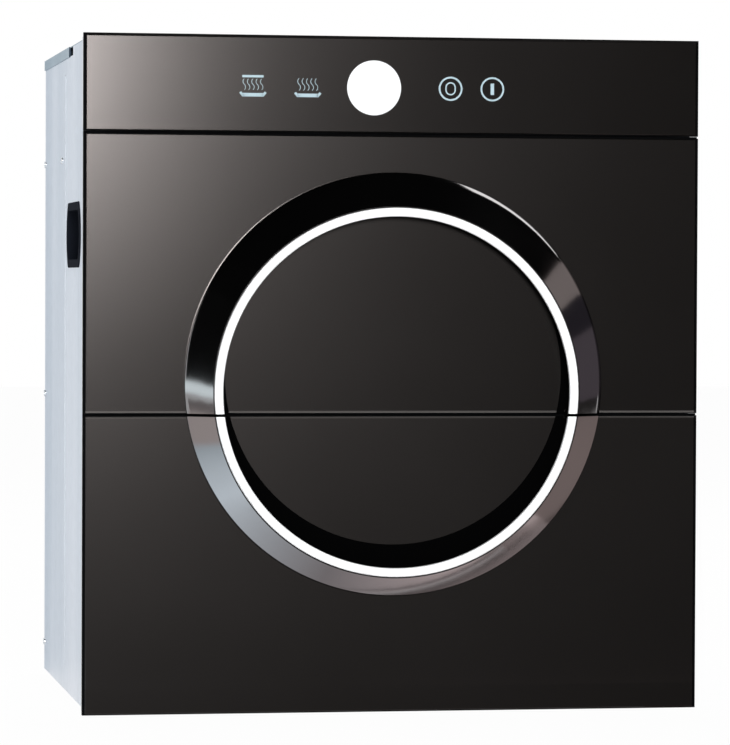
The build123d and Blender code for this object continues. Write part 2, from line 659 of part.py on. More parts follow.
# Power board on standoffs over the upper chamber
board_x = (POWER_BOARD_PLACE - POWER_BOARD_WIDTH / 2, POWER_BOARD_PLACE + POWER_BOARD_WIDTH / 2)
board_y = (GLASS_Y + POWER_BOARD_START, GLASS_Y + POWER_BOARD_START + POWER_BOARD_DEPTH)
board_mid = (board_y[0] + board_y[1]) / 2
board_z = UPPER_ROOF + SHEET + STANDOFF_HEIGHT
board_top = board_z + BOARD_THICKNESS
on_top = (Align.CENTER, Align.CENTER, Align.MIN)
with BuildPart() as power_board:
    block(board_x, board_y, (board_z, board_top))
    with Locations((POWER_BOARD_PLACE, board_mid, board_z - STANDOFF_HEIGHT)):
        with GridLocations(
            POWER_BOARD_WIDTH - 2 * STANDOFF_INSET, POWER_BOARD_DEPTH - 2 * STANDOFF_INSET, 2, 2
        ):
            Cylinder(STANDOFF_RADIUS, STANDOFF_HEIGHT, align=on_top)
    with Locations((POWER_BOARD_PLACE + TRANSFORMER_PLACE, board_mid, board_top)):
        Box(TRANSFORMER_WIDTH, TRANSFORMER_DEPTH, TRANSFORMER_HEIGHT, align=on_top)
    with Locations((POWER_BOARD_PLACE + RELAY_PLACE, board_mid + RELAY_DEPTH, board_top)):
        with GridLocations(RELAY_PITCH, 0, RELAY_COUNT, 1):
            Box(RELAY_WIDTH, RELAY_DEPTH, RELAY_HEIGHT, align=on_top)
    with Locations((POWER_BOARD_PLACE + RELAY_PLACE, board_mid - RELAY_DEPTH, board_top)):
        with GridLocations(CAPACITOR_SPREAD, 0, 2, 1):
            Cylinder(CAPACITOR_RADIUS, CAPACITOR_HEIGHT, align=on_top)
save(power_board, "power_board")


def make_pane(bottom, top):
    """A glass pane with a bevelled front edge, held in from the edges of its front."""
    with BuildPart() as pane:
        with BuildSketch(front_plane(GLASS_BACK)):
            with Locations((0, (bottom + top) / 2)):
                Rectangle(FRONT_WIDTH - 2 * GLASS_SIDE_INSET, top - bottom - 2 * GLASS_END_INSET)
        extrude(amount=GLASS_THICKNESS)
        chamfer(pane.faces().sort_by(Axis.Y)[0].edges(), GLASS_BEVEL)
    return pane.part


def make_glass_frame(bottom, top, stop):
    """The moulded frame that backs a pane, shows as a thin lip around it and closes the joint above."""
    with BuildPart() as glass_frame:
        block(both(FRONT_WIDTH / 2), (GLASS_Y + LIP_SETBACK, BACKING_BACK), (bottom, top))
        block(both(FRONT_WIDTH / 2), (GLASS_BACK, BACKING_BACK), (bottom, top + stop))
        block(
            both(FRONT_WIDTH / 2 - GLASS_SIDE_INSET + FIT),
            (GLASS_Y - OVERRUN, GLASS_BACK),
            (bottom + GLASS_END_INSET - FIT, top - GLASS_END_INSET + FIT),
            Mode.SUBTRACT,
        )
    return glass_frame.part


def make_pan(bottom, top, back):
    """The sheet steel pan behind a glass frame, open to the front."""
    with BuildPart() as pan:
        with BuildSketch(front_plane(back)):
            with Locations((0, (bottom + top) / 2)):
                RectangleRounded(FRONT_WIDTH - 2 * PAN_INSET, top - bottom - 2 * PAN_INSET, PAN_CORNER)
        extrude(amount=back - BACKING_BACK)
        with BuildSketch(front_plane(back - SHEET)):
            with Locations((0, (bottom + top) / 2)):
                RectangleRounded(
                    FRONT_WIDTH - 2 * (PAN_INSET + SHEET),
                    top - bottom - 2 * (PAN_INSET + SHEET),
                    PAN_CORNER - SHEET,
                )
        extrude(amount=back - SHEET - BACKING_BACK, mode=Mode.SUBTRACT)
    return pan.part


# Control strip: pane with a round window, frame, housing, display and touch board
display_spot = (DISPLAY_PLACE, FRONT_TOP - DISPLAY_DROP)
with BuildPart() as control_glass:
    add(make_pane(CONTROL_BOTTOM, FRONT_TOP))
    with BuildSketch(front_plane(GLASS_BACK)):
        with Locations(display_spot):
            Circle(DISPLAY_RADIUS + FIT)
    extrude(amount=GLASS_THICKNESS, mode=Mode.SUBTRACT)
save(control_glass, "control_glass")

with BuildPart() as control_frame:
    add(make_glass_frame(CONTROL_BOTTOM, FRONT_TOP, 0))
    with BuildSketch(front_plane(BACKING_BACK)):
        with Locations(display_spot):
            Circle(DISPLAY_BODY_RADIUS + FIT)
    extrude(amount=BACKING_THICKNESS, mode=Mode.SUBTRACT)
save(control_frame, "control_frame")

with BuildPart() as control_housing:
    add(make_pan(CONTROL_BOTTOM, FRONT_TOP, BODY_Y))
    with BuildSketch(front_plane(BODY_Y)):
        with Locations((DISPLAY_PLACE, loom_z)):
            Circle(LOOM_HOLE_RADIUS)
    extrude(amount=SHEET, mode=Mode.SUBTRACT)
save(control_housing, "control_housing")

with BuildPart() as display_module:
    with BuildSketch(front_plane(GLASS_BACK)):
        with Locations(display_spot):
            Circle(DISPLAY_RADIUS)
    extrude(amount=GLASS_THICKNESS - DISPLAY_SETBACK)
    with BuildSketch(front_plane(GLASS_BACK + DISPLAY_BODY_DEPTH)):
        with Locations(display_spot):
            Circle(DISPLAY_BODY_RADIUS)
    extrude(amount=DISPLAY_BODY_DEPTH)
save(display_module, "display_module")

with BuildPart() as touch_board:
    with BuildSketch(front_plane(BACKING_BACK + BOARD_THICKNESS)):
        with Locations((0, display_spot[1])):
            Rectangle(TOUCH_BOARD_WIDTH, TOUCH_BOARD_HEIGHT)
        with Locations(display_spot):
            Circle(DISPLAY_BODY_RADIUS + FIT, mode=Mode.SUBTRACT)
    extrude(amount=BOARD_THICKNESS)
    with BuildSketch(front_plane(BACKING_BACK + BOARD_THICKNESS)):
        with Locations(*[(place, display_spot[1]) for place in CHIP_PLACES]):
            Rectangle(CHIP_WIDTH, CHIP_WIDTH)
    extrude(amount=-CHIP_THICKNESS)
save(touch_board, "touch_board")


def make_rail(web, lips, half_height, y):
    """A pair of C-section rail members from the spans of the right-hand one across X."""
    with BuildPart() as rail:
        block(web, y, both(half_height))
        block(lips, y, (half_height - SLIDE_SHEET, half_height))
        block(lips, y, (-half_height, SLIDE_SHEET - half_height))
        mirror(about=Plane.YZ)
    return rail.part


def make_rails(name, floor):
    """The three nested members on each side of one drawer: fixed, middle and inner."""
    height = floor + TRAY_LIFT + TRAY_DEPTH + SLIDE_RISE
    step = SLIDE_SHEET + SLIDE_CLEARANCE
    half = SLIDE_HEIGHT / 2
    wall = CHAMBER_HALF
    y = (SLIDE_FRONT, SLIDE_BACK)
    fixed = make_rail((wall - SLIDE_SHEET, wall), (wall - SLIDE_LIP, wall), half, y)
    middle_wall = wall - step
    middle = make_rail(
        (middle_wall - SLIDE_SHEET, middle_wall), (middle_wall - SLIDE_LIP, middle_wall), half - step, y
    )
    inner = make_rail(
        (SIDE_OUTER, SIDE_OUTER + SLIDE_SHEET), (SIDE_OUTER, wall - 2 * step), half - 2 * step, y
    )
    for part, member in ((fixed, "fixed"), (middle, "middle"), (inner, "inner")):
        with BuildPart() as rails:
            with Locations((0, 0, height)):
                add(part)
        save(rails, f"{name}_{member}_rails")


def cut_half(z, keep):
    """Keep the part of the ring above or below one side of the split."""
    split(bisect_by=Plane.XY.offset(z), keep=keep)


def make_handle(name, z_end, direction, angles):
    """One half of the ring pull: chromed band with bosses and an inner ledge, bright rim and black bed."""
    keep = Keep.TOP if direction > 0 else Keep.BOTTOM
    ring_end = z_end + direction * RING_END_INSET
    wall_end = ring_end + direction * BAND_WALL
    boss_spots = [
        (BOSS_CIRCLE * math.cos(math.radians(angle)), BOSS_Z + BOSS_CIRCLE * math.sin(math.radians(angle)))
        for angle in angles
    ]

    with BuildPart() as hollow:
        with BuildSketch(front_plane(GLASS_Y)):
            with Locations((0, RING_Z)):
                Circle(HOLLOW_RADIUS)
        extrude(amount=HOLLOW_KNEE)
        with BuildSketch(front_plane(GLASS_Y - HOLLOW_KNEE)):
            with Locations((0, RING_Z)):
                Circle(HOLLOW_RADIUS)
        with BuildSketch(front_plane(GLASS_Y - LEDGE_RISE)):
            with Locations((0, HOLLOW_TOP_Z)):
                Circle(HOLLOW_TOP_RADIUS)
        loft()
        with BuildSketch(front_plane(GLASS_Y - LEDGE_RISE)):
            with Locations((0, HOLLOW_TOP_Z)):
                Circle(HOLLOW_TOP_RADIUS)
        extrude(amount=LEDGE_THICKNESS)
        with BuildSketch(front_plane(GLASS_Y)):
            with Locations(*boss_spots):
                Circle(BOSS_RADIUS)
        extrude(amount=LEDGE_RISE, mode=Mode.SUBTRACT)
        cut_half(wall_end, keep)

    with BuildPart() as ledge:
        with BuildSketch(front_plane(GLASS_Y - LEDGE_RISE)):
            with Locations((0, HOLLOW_TOP_Z)):
                Circle(HOLLOW_TOP_RADIUS - FIT)
            with Locations((0, RIM_Z)):
                Circle(LEDGE_RADIUS, mode=Mode.SUBTRACT)
        extrude(amount=LEDGE_THICKNESS - FIT)
        cut_half(wall_end + direction * FIT, keep)

    with BuildPart() as band:
        with BuildSketch(front_plane(GLASS_Y)):
            with Locations((0, RING_Z)):
                Circle(RING_RADIUS)
        extrude(amount=BAND_EDGE)
        with BuildSketch(front_plane(GLASS_Y - BAND_EDGE)):
            with Locations((0, RING_Z)):
                Circle(RING_RADIUS)
        with BuildSketch(front_plane(GLASS_Y - CREST_RISE)):
            with Locations((0, RIM_Z)):
                Circle(CREST_RADIUS)
        loft()
        fillet(band.edges().filter_by(GeomType.CIRCLE).group_by(Axis.Y)[1], BAND_ROUND)
        with BuildSketch(front_plane(GLASS_Y - SEAT_RISE)):
            with Locations((0, RIM_Z)):
                Circle(RIM_RADIUS + FIT)
        extrude(amount=CREST_RISE - SEAT_RISE, mode=Mode.SUBTRACT)
        with BuildSketch(front_plane(GLASS_Y)):
            with Locations((0, RIM_Z)):
                Circle(LEDGE_RADIUS)
        extrude(amount=SEAT_RISE, mode=Mode.SUBTRACT)
        add(hollow.part, mode=Mode.SUBTRACT)
        cut_half(ring_end, keep)
        with BuildSketch(front_plane(GLASS_Y)):
            with Locations(*boss_spots):
                Circle(SCREW_RADIUS + SCREW_CLEARANCE)
        extrude(amount=BOSS_HOLE_DEPTH, mode=Mode.SUBTRACT)
        add(ledge.part)
    save(band, f"{name}_handle_band")

    with BuildPart() as rim:
        with BuildSketch(front_plane(GLASS_Y - SEAT_RISE)):
            with Locations((0, RIM_Z)):
                Circle(RIM_RADIUS)
                Circle(RIM_INNER_RADIUS, mode=Mode.SUBTRACT)
        extrude(amount=RIM_THICKNESS)
        fillet(rim.faces().sort_by(Axis.Y)[0].edges(), RIM_ROUND)
        cut_half(ring_end, keep)
    save(rim, f"{name}_handle_rim")

    with BuildPart() as bed:
        with BuildSketch(front_plane(GLASS_Y)):
            with Locations((0, RING_Z)):
                Circle(HOLLOW_RADIUS - FIT)
            with Locations((0, BED_Z)):
                Circle(BED_RADIUS, mode=Mode.SUBTRACT)
            with Locations(*boss_spots):
                Circle(BOSS_RADIUS + FIT, mode=Mode.SUBTRACT)
        extrude(amount=BED_THICKNESS)
        cut_half(ring_end, keep)
        chords = [math.sqrt(LEDGE_RADIUS**2 - (z - RIM_Z) ** 2) for z in (ring_end, wall_end)]
        wall_z = sorted((ring_end - direction * OVERRUN, wall_end + direction * FIT))
        for side in (-1, 1):
            wall_x = sorted((side * (min(chords) - FIT), side * RING_RADIUS))
            block(wall_x, (GLASS_Y - BED_THICKNESS - OVERRUN, GLASS_Y + OVERRUN), wall_z, Mode.SUBTRACT)
    save(bed, f"{name}_handle_bed")

    screw = make_screw(BACKING_THICKNESS + GLASS_THICKNESS + HANDLE_SCREW_REACH)
    with BuildPart() as handle_screws:
        for spot_x, spot_z in boss_spots:
            with Locations(outward(spot_x, BACKING_BACK, spot_z, (0, 1, 0))):
                add(screw)
    save(handle_screws, f"{name}_handle_screws")
    return boss_spots


def make_front(name, bottom, top, chamber, boss_spots):
    """One drawer front: pane, frame, pan and seal."""
    with BuildPart() as glass:
        add(make_pane(bottom, top))
        with BuildSketch(front_plane(GLASS_BACK)):
            with Locations(*boss_spots):
                Circle(GLASS_HOLE_RADIUS)
        extrude(amount=GLASS_THICKNESS, mode=Mode.SUBTRACT)
    save(glass, f"{name}_glass")

    with BuildPart() as glass_frame:
        add(make_glass_frame(bottom, top, PANEL_GAP - STOP_CLEARANCE))
        with BuildSketch(front_plane(BACKING_BACK)):
            with Locations(*boss_spots):
                Circle(SCREW_RADIUS + SCREW_CLEARANCE)
        extrude(amount=BACKING_THICKNESS, mode=Mode.SUBTRACT)
    save(glass_frame, f"{name}_glass_frame")

    with BuildPart() as front_pan:
        add(make_pan(bottom, top, PAN_BACK))
    save(front_pan, f"{name}_front_pan")

    inside_x = CHAMBER_HALF + SEAL_MARGIN
    inside_z = (chamber[0] - SEAL_MARGIN, chamber[1] + SEAL_MARGIN)
    seal_y = (PAN_BACK, PAN_BACK + SEAL_THICKNESS)
    with BuildPart() as seal:
        block(both(inside_x + SEAL_WIDTH), seal_y, (inside_z[0] - SEAL_WIDTH, inside_z[1] + SEAL_WIDTH))
        block(both(inside_x), (PAN_BACK - OVERRUN, seal_y[1] + OVERRUN), inside_z, Mode.SUBTRACT)
    save(seal, f"{name}_seal")


def make_drawer_body(name, floor):
    """The side plates, rear bar, drip tray and wire rack that ride behind one front."""
    shelf = floor + TRAY_LIFT + TRAY_DEPTH
    plate_y = (PAN_BACK, SLIDE_BACK)
    plate_z = (shelf - SHEET, shelf + SIDE_PLATE_HEIGHT)
    with BuildPart() as drawer_sides:
        block((SIDE_INNER, SIDE_OUTER), plate_y, plate_z)
        block((SIDE_OUTER - SIDE_SHELF, SIDE_OUTER), plate_y, (shelf - SHEET, shelf))
        block((SIDE_OUTER - SIDE_TAB, SIDE_OUTER), (PAN_BACK, PAN_BACK + SHEET), plate_z)
        mirror(about=Plane.YZ)
    save(drawer_sides, f"{name}_drawer_sides")

    bar_y = (SLIDE_BACK - REAR_BAR_FOLD, SLIDE_BACK)
    bar_top = shelf + REAR_BAR_HEIGHT
    with BuildPart() as rear_bar:
        block(both(SIDE_INNER), (SLIDE_BACK - SHEET, SLIDE_BACK), (shelf, bar_top))
        block(both(SIDE_INNER), bar_y, (bar_top - SHEET, bar_top))
    save(rear_bar, f"{name}_rear_bar")

    lip_half = SIDE_INNER - TRAY_CLEARANCE
    lip_y = (PAN_BACK + SHEET + TRAY_END_GAP, bar_y[0] - TRAY_END_GAP)
    bowl_half = SIDE_OUTER - SIDE_SHELF - TRAY_CLEARANCE
    bowl_y = (lip_y[0] + TRAY_LIP, lip_y[1] - TRAY_LIP)
    with BuildPart() as drip_tray:
        block(both(lip_half), lip_y, (shelf, shelf + SHEET))
        block(both(bowl_half), bowl_y, (shelf - TRAY_DEPTH, shelf + SHEET))
        block(
            both(bowl_half - SHEET),
            (bowl_y[0] + SHEET, bowl_y[1] - SHEET),
            (shelf - TRAY_DEPTH + SHEET, shelf + SHEET + OVERRUN),
            Mode.SUBTRACT,
        )
    save(drip_tray, f"{name}_drip_tray")

    rack_z = shelf + SHEET + RACK_FRAME_RADIUS
    rack_half = SIDE_INNER - RACK_SIDE_GAP - RACK_FRAME_RADIUS
    rack_y = (PAN_BACK + RACK_END_GAP, bar_y[0] - RACK_END_GAP)
    rack_mid = (rack_y[0] + rack_y[1]) / 2
    wire_count = int((rack_y[1] - rack_y[0]) / RACK_PITCH)
    first_wire = rack_mid - (wire_count - 1) * RACK_PITCH / 2
    wires = [first_wire + index * RACK_PITCH for index in range(wire_count)]
    stay_z = rack_z + RACK_WIRE_RADIUS + RACK_STAY_RADIUS - RACK_WELD
    with BuildPart() as wire_rack:
        with BuildLine() as loop:
            FilletPolyline(
                (rack_half, rack_y[0], rack_z),
                (rack_half, rack_y[1], rack_z),
                (-rack_half, rack_y[1], rack_z),
                (-rack_half, rack_y[0], rack_z),
                radius=RACK_CORNER,
                close=True,
            )
        with BuildSketch(Plane(origin=loop.line @ 0, z_dir=loop.line % 0)):
            Circle(RACK_FRAME_RADIUS)
        sweep()
        with Locations(*[(0, wire, rack_z) for wire in wires]):
            Cylinder(RACK_WIRE_RADIUS, 2 * rack_half, rotation=(0, 90, 0))
        with Locations(*[(x, rack_mid, stay_z) for x in both(RACK_STAY_PLACE)]):
            Cylinder(RACK_STAY_RADIUS, rack_y[1] - rack_y[0], rotation=(90, 0, 0))
    save(wire_rack, f"{name}_wire_rack")
    return wires, rack_z + RACK_WIRE_RADIUS + FOOT_GAP


def make_plate_hoops(wires, foot_z):
    """Two rows of upright wire hoops that stand on the rack's cross wires."""
    top = foot_z + HOOP_HEIGHT
    hoop_wires = wires[HOOP_SKIP_COUNT:-1]
    with BuildPart() as hoop:
        with BuildLine(Plane.XZ) as arch:
            FilletPolyline(
                (-HOOP_WIDTH / 2, foot_z),
                (-HOOP_WIDTH / 2, top),
                (HOOP_WIDTH / 2, top),
                (HOOP_WIDTH / 2, foot_z),
                radius=HOOP_BEND,
            )
        with BuildSketch(Plane(origin=arch.line @ 0, z_dir=arch.line % 0)):
            Circle(HOOP_RADIUS)
        sweep()
    with BuildPart() as plate_hoops:
        with Locations(*[(x, wire, 0) for wire in hoop_wires for x in both(HOOP_PLACE)]):
            add(hoop.part)
    save(plate_hoops, "lower_plate_hoops")


def make_cup_rails(wires, foot_z):
    """Low wire rails from front to back, for cups to lean on."""
    top = foot_z + CUP_RAIL_HEIGHT
    with BuildPart() as rail:
        with BuildLine(Plane.YZ) as arch:
            FilletPolyline(
                (wires[1], foot_z),
                (wires[1], top),
                (wires[-2], top),
                (wires[-2], foot_z),
                radius=CUP_RAIL_BEND,
            )
        with BuildSketch(Plane(origin=arch.line @ 0, z_dir=arch.line % 0)):
            Circle(HOOP_RADIUS)
        sweep()
    with BuildPart() as cup_rails:
        with GridLocations(CUP_RAIL_PITCH, 0, CUP_RAIL_COUNT, 1):
            add(rail.part)
    save(cup_rails, "upper_cup_rails")


upper_bosses = make_handle("upper", UPPER_BOTTOM, 1, UPPER_BOSS_ANGLES)
lower_bosses = make_handle("lower", LOWER_TOP, -1, LOWER_BOSS_ANGLES)
make_front("upper", UPPER_BOTTOM, UPPER_TOP, chambers["upper"], upper_bosses)
make_front("lower", FRONT_BOTTOM, LOWER_TOP, chambers["lower"], lower_bosses)
make_rails("upper", UPPER_FLOOR)
make_rails("lower", LOWER_FLOOR)
make_cup_rails(*make_drawer_body("upper", UPPER_FLOOR))
make_plate_hoops(*make_drawer_body("lower", LOWER_FLOOR))
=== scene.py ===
import math

import bmesh
import bpy
from mathutils import Euler, Matrix, Vector


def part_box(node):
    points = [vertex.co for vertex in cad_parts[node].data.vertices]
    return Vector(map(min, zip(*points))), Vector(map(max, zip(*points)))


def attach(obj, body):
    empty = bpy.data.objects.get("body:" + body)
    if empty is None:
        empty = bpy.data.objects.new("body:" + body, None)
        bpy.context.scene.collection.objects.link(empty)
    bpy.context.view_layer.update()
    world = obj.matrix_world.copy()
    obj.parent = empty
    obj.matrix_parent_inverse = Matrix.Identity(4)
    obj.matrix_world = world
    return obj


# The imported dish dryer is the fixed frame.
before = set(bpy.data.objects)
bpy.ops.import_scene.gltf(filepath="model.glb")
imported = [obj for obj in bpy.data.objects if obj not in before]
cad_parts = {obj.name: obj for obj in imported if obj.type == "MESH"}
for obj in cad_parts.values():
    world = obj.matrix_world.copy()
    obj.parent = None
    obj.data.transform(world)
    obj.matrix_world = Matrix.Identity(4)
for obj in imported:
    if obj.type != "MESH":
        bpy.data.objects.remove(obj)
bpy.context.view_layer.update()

# Cabinet shell: side panels, top cover, base and rear panel, folded from 1 mm galvanised sheet and
# screwed together. The zinc shows soft upright bands and a faint spangle, edges that face the front
# are dark raw steel, and the cover's sheet is bluer.
GRAIN_LOW = 0.3
GRAIN_HIGH = 0.7
GRAIN_DETAIL = 4.0
CRYSTALS_PER_METRE = 120.0
CRYSTAL_SHADE = 0.94
CUT_EDGE_START = -0.7
CUT_EDGE_FULL = -0.9
RAW_STEEL = (0.012, 0.022, 0.035)


def add_node(tree, kind, inputs, **settings):
    """A shader node with its settings, and a value or a link for each named input."""
    node = tree.nodes.new("ShaderNode" + kind)
    for setting, value in settings.items():
        setattr(node, setting, value)
    for socket, value in inputs.items():
        if isinstance(value, bpy.types.NodeSocket):
            tree.links.new(value, node.inputs[socket])
        else:
            node.inputs[socket].default_value = value
    return node


def opaque(colour):
    """A colour with full alpha, as a colour socket takes it."""
    return (*colour, 1.0)


def ramp(tree, value, start, end, top=1.0):
    """A value that goes from nothing at a start to a top at an end."""
    return add_node(
        tree, "MapRange", {"Value": value, "From Min": start, "From Max": end, "To Max": top}
    ).outputs[0]


def blend(tree, share, first, second):
    """A colour that goes from a first to a second by a share."""
    return add_node(tree, "Mix", {0: share, 6: first, 7: second}, data_type="RGBA").outputs[2]


def make_grain_group():
    """A stretched noise that spreads two colours and two roughnesses over a surface."""
    group = bpy.data.node_groups.new("surface_grain", "ShaderNodeTree")
    inputs = {"Pale": "Color", "Deep": "Color", "Stretch": "Vector", "Smooth": "Float", "Rough": "Float"}
    for name, kind in inputs.items():
        group.interface.new_socket(name, in_out="INPUT", socket_type="NodeSocket" + kind)
    for name, kind in {"Color": "Color", "Roughness": "Float", "Height": "Float"}.items():
        group.interface.new_socket(name, in_out="OUTPUT", socket_type="NodeSocket" + kind)
    given = group.nodes.new("NodeGroupInput").outputs
    place = add_node(group, "TexCoord", {})
    stretched = add_node(
        group, "VectorMath", {0: place.outputs["Object"], 1: given["Stretch"]}, operation="MULTIPLY"
    )
    noise = add_node(
        group, "TexNoise", {"Vector": stretched.outputs[0], "Scale": 1.0, "Detail": GRAIN_DETAIL}
    )
    mask = ramp(group, noise.outputs[0], GRAIN_LOW, GRAIN_HIGH)
    rough = add_node(
        group, "MapRange", {"Value": mask, "To Min": given["Smooth"], "To Max": given["Rough"]}
    )
    result = group.nodes.new("NodeGroupOutput")
    group.links.new(blend(group, mask, given["Deep"], given["Pale"]), result.inputs["Color"])
    group.links.new(rough.outputs[0], result.inputs["Roughness"])
    group.links.new(mask, result.inputs["Height"])
    return group


surface_grain = make_grain_group()


def make_finish(name, pale, deep, stretch, smooth, rough, relief, constants):
    """A material whose colour, gloss and relief follow the grain, with plain values for the rest."""
    finish = bpy.data.materials.new(name)
    finish.use_nodes = True
    tree = finish.node_tree
    shader = tree.nodes["Principled BSDF"]
    grain = add_node(
        tree,
        "Group",
        {
            "Pale": opaque(pale),
            "Deep": opaque(deep),
            "Stretch": stretch,
            "Smooth": smooth,
            "Rough": rough,
        },
        node_tree=surface_grain,
    )
    tree.links.new(grain.outputs["Color"], shader.inputs["Base Color"])
    tree.links.new(grain.outputs["Roughness"], shader.inputs["Roughness"])
    bump = add_node(tree, "Bump", {"Height": grain.outputs["Height"], "Distance": relief})
    tree.links.new(bump.outputs["Normal"], shader.inputs["Normal"])
    for socket, value in constants.items():
        shader.inputs[socket].default_value = value
    return finish


def dress(finish, *names):
    """Give CAD nodes their finish."""
    for name in names:
        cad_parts[name].data.materials.clear()
        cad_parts[name].data.materials.append(finish)


def make_galvanised(name, pale, deep):
    """Zinc-coated sheet: bands, a spangle of small crystals, and raw steel where it faces the front."""
    finish = make_finish(
        name,
        pale=pale,
        deep=deep,
        stretch=(11.0, 11.0, 0.7),
        smooth=0.40,
        rough=0.47,
        relief=0.0001,
        constants={"Metallic": 0.75},
    )
    tree = finish.node_tree
    shader = tree.nodes["Principled BSDF"]
    place = add_node(tree, "TexCoord", {})
    crystals = add_node(
        tree, "TexVoronoi", {"Vector": place.outputs["Object"], "Scale": CRYSTALS_PER_METRE}
    )
    shade = add_node(
        tree, "MapRange", {"Value": crystals.outputs["Color"], "To Min": CRYSTAL_SHADE, "To Max": 1.0}
    )
    banded = shader.inputs["Base Color"].links[0].from_socket
    spangled = add_node(
        tree, "Mix", {0: 1.0, 6: banded, 7: shade.outputs[0]}, data_type="RGBA", blend_type="MULTIPLY"
    )
    facing = add_node(tree, "SeparateXYZ", {0: place.outputs["Normal"]})
    cut = ramp(tree, facing.outputs["Y"], CUT_EDGE_START, CUT_EDGE_FULL)
    sheared = blend(tree, cut, spangled.outputs[2], opaque(RAW_STEEL))
    tree.links.new(sheared, shader.inputs["Base Color"])
    return finish


galvanised_sheet = make_galvanised("galvanised_sheet", pale=(0.78, 0.81, 0.87), deep=(0.64, 0.69, 0.76))
cover_sheet = make_galvanised("cover_sheet", pale=(0.42, 0.50, 0.56), deep=(0.34, 0.42, 0.48))
dress(galvanised_sheet, "left_side_panel", "right_side_panel", "base_panel", "rear_panel")
dress(cover_sheet, "top_cover")

# Cabinet and handle screws: zinc-plated steel with cross-slotted pan heads. The cabinet's hold the
# sheets, and the handle's go from behind through the black frames and the glass into the ring.
screw_steel = make_finish(
    "screw_steel",
    pale=(0.86, 0.87, 0.88),
    deep=(0.70, 0.71, 0.73),
    stretch=(300.0, 300.0, 300.0),
    smooth=0.18,
    rough=0.3,
    relief=0.00002,
    constants={"Metallic": 1.0},
)
dress(screw_steel, "cabinet_screws", "upper_handle_screws", "lower_handle_screws")

# Side grips: blue-black cups moulded with a rounded border, pressed into holes in the side panels.
# Their skin has a fine eroded texture without gloss.
grip_moulding = make_finish(
    "grip_moulding",
    pale=(0.015, 0.018, 0.026),
    deep=(0.010, 0.012, 0.018),
    stretch=(900.0, 900.0, 900.0),
    smooth=0.7,
    rough=0.85,
    relief=0.00004,
    constants={"Specular IOR Level": 0.01},
)
dress(grip_moulding, "left_grip", "right_grip")

# Feet: four pads of hard rubber, moulded round with a soft lower edge.
# They are stuck under the base panel, near its corners.
foot_rubber = make_finish(
    "foot_rubber",
    pale=(0.030, 0.030, 0.031),
    deep=(0.018, 0.018, 0.019),
    stretch=(260.0, 260.0, 260.0),
    smooth=0.7,
    rough=0.88,
    relief=0.00008,
    constants={"Specular IOR Level": 0.3},
)
dress(foot_rubber, "feet")

# Front frame: one grey moulding set between the side panels, around both drying chambers.
# It is closed behind the controls, but for a hole that the wires go through.
frame_moulding = make_finish(
    "frame_moulding",
    pale=(0.22, 0.22, 0.23),
    deep=(0.17, 0.17, 0.18),
    stretch=(700.0, 700.0, 700.0),
    smooth=0.42,
    rough=0.55,
    relief=0.00004,
    constants={},
)
dress(frame_moulding, "front_frame")

# Drying chambers: liners folded from stainless sheet, brushed along their width.
# The drawers' side plates, rear bars and drip trays are cut from the same sheet.
stainless_sheet = make_finish(
    "stainless_sheet",
    pale=(0.72, 0.72, 0.71),
    deep=(0.60, 0.60, 0.595),
    stretch=(7.0, 420.0, 420.0),
    smooth=0.30,
    rough=0.44,
    relief=0.00003,
    constants={"Metallic": 0.65, "Anisotropic": 0.4},
)
dress(stainless_sheet, "upper_liner", "lower_liner")

# Hot-air units: finned heaters pressed from aluminium, thermal cut-outs in plain metal cans,
# and axial fans moulded from glass-filled plastic.
heater_fins = make_finish(
    "heater_fins",
    pale=(0.74, 0.74, 0.73),
    deep=(0.58, 0.58, 0.57),
    stretch=(60.0, 200.0, 200.0),
    smooth=0.3,
    rough=0.48,
    relief=0.00003,
    constants={"Metallic": 1.0},
)
dress(heater_fins, "upper_heater", "lower_heater", "thermal_cutouts")
fan_moulding = make_finish(
    "fan_moulding",
    pale=(0.034, 0.034, 0.035),
    deep=(0.022, 0.022, 0.023),
    stretch=(240.0, 240.0, 240.0),
    smooth=0.4,
    rough=0.58,
    relief=0.00004,
    constants={},
)
dress(fan_moulding, "upper_fan_frame", "lower_fan_frame", "upper_fan_rotor", "lower_fan_rotor")

# Wiring: a black nylon cable gland in the rear panel, a terminal block in pale urea moulding,
# and two circuit boards under green lacquer.
black_nylon = make_finish(
    "black_nylon",
    pale=(0.016, 0.016, 0.017),
    deep=(0.010, 0.010, 0.011),
    stretch=(300.0, 300.0, 300.0),
    smooth=0.38,
    rough=0.5,
    relief=0.00003,
    constants={},
)
dress(black_nylon, "cable_gland")
terminal_moulding = make_finish(
    "terminal_moulding",
    pale=(0.84, 0.82, 0.76),
    deep=(0.76, 0.74, 0.68),
    stretch=(180.0, 180.0, 180.0),
    smooth=0.34,
    rough=0.46,
    relief=0.00003,
    constants={},
)
dress(terminal_moulding, "terminal_block")
board_lacquer = make_finish(
    "board_lacquer",
    pale=(0.045, 0.21, 0.10),
    deep=(0.020, 0.12, 0.055),
    stretch=(220.0, 30.0, 220.0),
    smooth=0.22,
    rough=0.36,
    relief=0.00003,
    constants={},
)
dress(board_lacquer, "touch_board", "power_board")

# Front pans and control housing: shallow trays of bright coated sheet that stiffen each front.
# Their sides show as a pale strip beside the black frames.
pan_steel = make_finish(
    "pan_steel",
    pale=(0.96, 0.97, 0.98),
    deep=(0.91, 0.92, 0.93),
    stretch=(30.0, 30.0, 3.0),
    smooth=0.3,
    rough=0.42,
    relief=0.00003,
    constants={"Metallic": 0.1},
)
dress(pan_steel, "control_housing", "upper_front_pan", "lower_front_pan")

